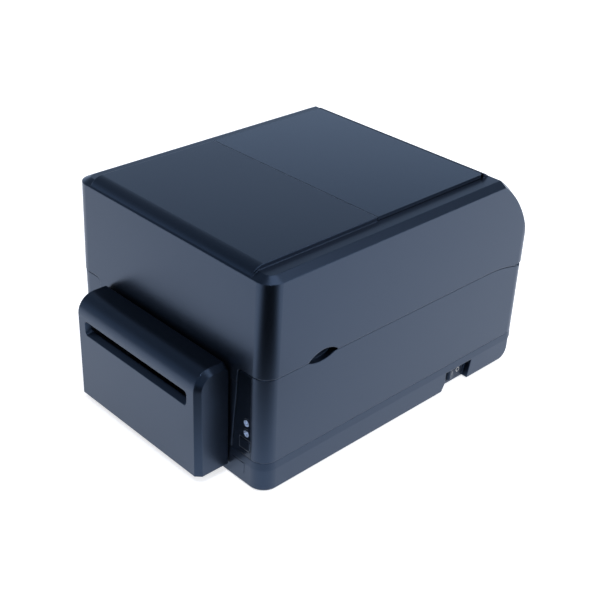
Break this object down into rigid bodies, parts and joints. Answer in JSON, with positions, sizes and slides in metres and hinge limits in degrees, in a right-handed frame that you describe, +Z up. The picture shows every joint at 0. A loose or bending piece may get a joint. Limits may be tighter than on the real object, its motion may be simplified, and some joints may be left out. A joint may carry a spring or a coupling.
{
  "type": "label printer",
  "caption": "Desktop label printer with a hinged windowed cover, a control strip, a front cutter module and working drive, ribbon and roll-holder mechanisms.",
  "frame": {"origin": "centre of the bounding box on the surface the feet stand on", "axes": "+Z up, +Y towards the rear sockets and hinge, +X towards the control panel side"},
  "size_m": [0.224, 0.3284, 0.1805],
  "materials": {
    "cover_plastic": "satin moulded ABS",
    "body_plastic": "fine textured ABS",
    "window_acrylic": "dark tinted acrylic",
    "panel_gloss": "gloss",
    "light_pipe": "clear",
    "foam_rubber": "matt foam",
    "rubber": "matt",
    "black_plastic": "satin",
    "grey_plastic": "satin",
    "white_plastic": "natural acetal",
    "circuit_board": "solder mask",
    "ceramic": "glazed",
    "steel": "turned",
    "plated_steel": "zinc plated",
    "aluminium": "extruded",
    "motor_metal": "satin",
    "brass": "turned"
  },
  "bodies": {
    "base": {"base_pan": "body_plastic", "board_screws": "steel", "button_switch": "black_plastic", "chassis_plate_left": "plated_steel", "chassis_plate_right": "plated_steel", "chassis_screws": "steel", "control_board": "circuit_board", "control_panel": "panel_gloss", "cutter_frame": "plated_steel", "cutter_housing": "body_plastic", "cutter_motor": "motor_metal", "cutter_screws": "steel", "fixed_blade": "steel", "front_bezel": "body_plastic", "gap_sensor": "black_plastic", "idler_stud": "steel", "label_deck": "plated_steel", "led_windows": "light_pipe", "lower_housing": "body_plastic", "main_board": "circuit_board", "media_tray": "black_plastic", "network_socket": "steel", "platen_bushes": "white_plastic", "power_inlet": "black_plastic", "rubber_feet": "rubber", "serial_socket": "steel", "status_leds": "light_pipe", "stepper_motor": "motor_metal", "switch_body": "black_plastic", "tie_rods": "steel", "usb_socket": "steel"},
    "cover": {"top_cover": "cover_plastic", "window_pane": "window_acrylic", "window_gasket": "foam_rubber", "hinge_pins": "steel"},
    "carriage": {"carriage_frame": "black_plastic", "carriage_pins": "steel", "ribbon_guides": "steel", "heat_sink": "aluminium", "print_head": "ceramic", "head_spring": "steel", "ribbon_motor": "motor_metal"},
    "platen": {"platen_roller": "rubber", "platen_shaft": "steel", "platen_gear": "white_plastic"},
    "idler": {"idler_gear": "white_plastic"},
    "motor_shaft": {"motor_pinion": "brass"},
    "takeup": {"ribbon_takeup_spindle": "grey_plastic", "takeup_gear": "white_plastic"},
    "supply": {"ribbon_supply_spindle": "grey_plastic"},
    "ribbon_shaft": {"ribbon_pinion": "brass"},
    "holder_right": {"media_holder_right": "grey_plastic"},
    "holder_left": {"media_holder_left": "grey_plastic"},
    "rack_wheel": {"rack_pinion": "white_plastic"},
    "feed_key": {"feed_button": "panel_gloss"},
    "power_key": {"power_rocker": "black_plastic"},
    "cutter_rotor": {"rotary_blade": "steel", "rotary_gear": "white_plastic"},
    "cutter_idler_wheel": {"cutter_idler": "white_plastic"},
    "cutter_motor_shaft": {"cutter_pinion": "brass"}
  },
  "joints": [
    {"name": "cover_hinge", "type": "hinge", "parent": "base", "child": "cover", "pos_m": [0, 0.15525, 0.1], "axis": [-1, 0, 0], "range_deg": [0, 90]},
    {"name": "carriage_pivot", "type": "hinge", "parent": "base", "child": "carriage", "pos_m": [0, 0.00525, 0.114], "axis": [-1, 0, 0], "range_deg": [0, 45]},
    {"name": "platen_spin", "type": "hinge", "parent": "base", "child": "platen", "pos_m": [0, -0.11275, 0.066], "axis": [1, 0, 0], "continuous": true},
    {"name": "idler_spin", "type": "hinge", "parent": "base", "child": "idler", "pos_m": [-0.06875, -0.08818, 0.04879], "axis": [1, 0, 0], "continuous": true},
    {"name": "motor_spin", "type": "hinge", "parent": "base", "child": "motor_shaft", "pos_m": [-0.06875, -0.06468, 0.04024], "axis": [1, 0, 0], "continuous": true},
    {"name": "takeup_spin", "type": "hinge", "parent": "carriage", "child": "takeup", "pos_m": [0, -0.09475, 0.132], "axis": [1, 0, 0], "continuous": true},
    {"name": "supply_spin", "type": "hinge", "parent": "carriage", "child": "supply", "pos_m": [0, -0.02675, 0.137], "axis": [1, 0, 0], "continuous": true},
    {"name": "ribbon_motor_spin", "type": "hinge", "parent": "carriage", "child": "ribbon_shaft", "pos_m": [-0.066, -0.07467, 0.11192], "axis": [1, 0, 0], "continuous": true},
    {"name": "holder_slide", "type": "slide", "parent": "base", "child": "holder_right", "axis": [-1, 0, 0], "range_m": [0, 0.03]},
    {"name": "holder_left_slide", "type": "slide", "parent": "base", "child": "holder_left", "axis": [1, 0, 0], "range_m": [0, 0.03]},
    {"name": "rack_wheel_spin", "type": "hinge", "parent": "base", "child": "rack_wheel", "pos_m": [0, 0.07025, 0.0213], "axis": [0, 0, -1], "range_deg": [0, 216]},
    {"name": "feed_press", "type": "slide", "parent": "base", "child": "feed_key", "axis": [0, 1, 0], "range_m": [0, 0.001], "stiffness_N_per_m": 300},
    {"name": "power_tip", "type": "hinge", "parent": "base", "child": "power_key", "pos_m": [0.1038, 0.0865, 0.0118], "axis": [0, 0, -1], "range_deg": [0, 14]},
    {"name": "cutter_spin", "type": "hinge", "parent": "base", "child": "cutter_rotor", "pos_m": [0, -0.14875, 0.085], "axis": [1, 0, 0], "continuous": true},
    {"name": "cutter_idler_spin", "type": "hinge", "parent": "base", "child": "cutter_idler_wheel", "pos_m": [-0.0663, -0.14875, 0.066], "axis": [1, 0, 0], "continuous": true},
    {"name": "cutter_motor_spin", "type": "hinge", "parent": "base", "child": "cutter_motor_shaft", "pos_m": [-0.0663, -0.14875, 0.05], "axis": [1, 0, 0], "continuous": true}
  ],
  "couplings": [
    {"joint": "carriage_pivot", "follows": "cover_hinge", "ratio": 0.5},
    {"joint": "idler_spin", "follows": "platen_spin", "ratio": -0.66667},
    {"joint": "motor_spin", "follows": "platen_spin", "ratio": 1.7143},
    {"joint": "ribbon_motor_spin", "follows": "takeup_spin", "ratio": -3.7333},
    {"joint": "holder_left_slide", "follows": "holder_slide", "ratio": 1},
    {"joint": "rack_wheel_spin", "follows": "holder_slide", "rad_per_m": 125},
    {"joint": "cutter_idler_spin", "follows": "cutter_spin", "ratio": -0.9},
    {"joint": "cutter_motor_spin", "follows": "cutter_spin", "ratio": 1.5}
  ]
}
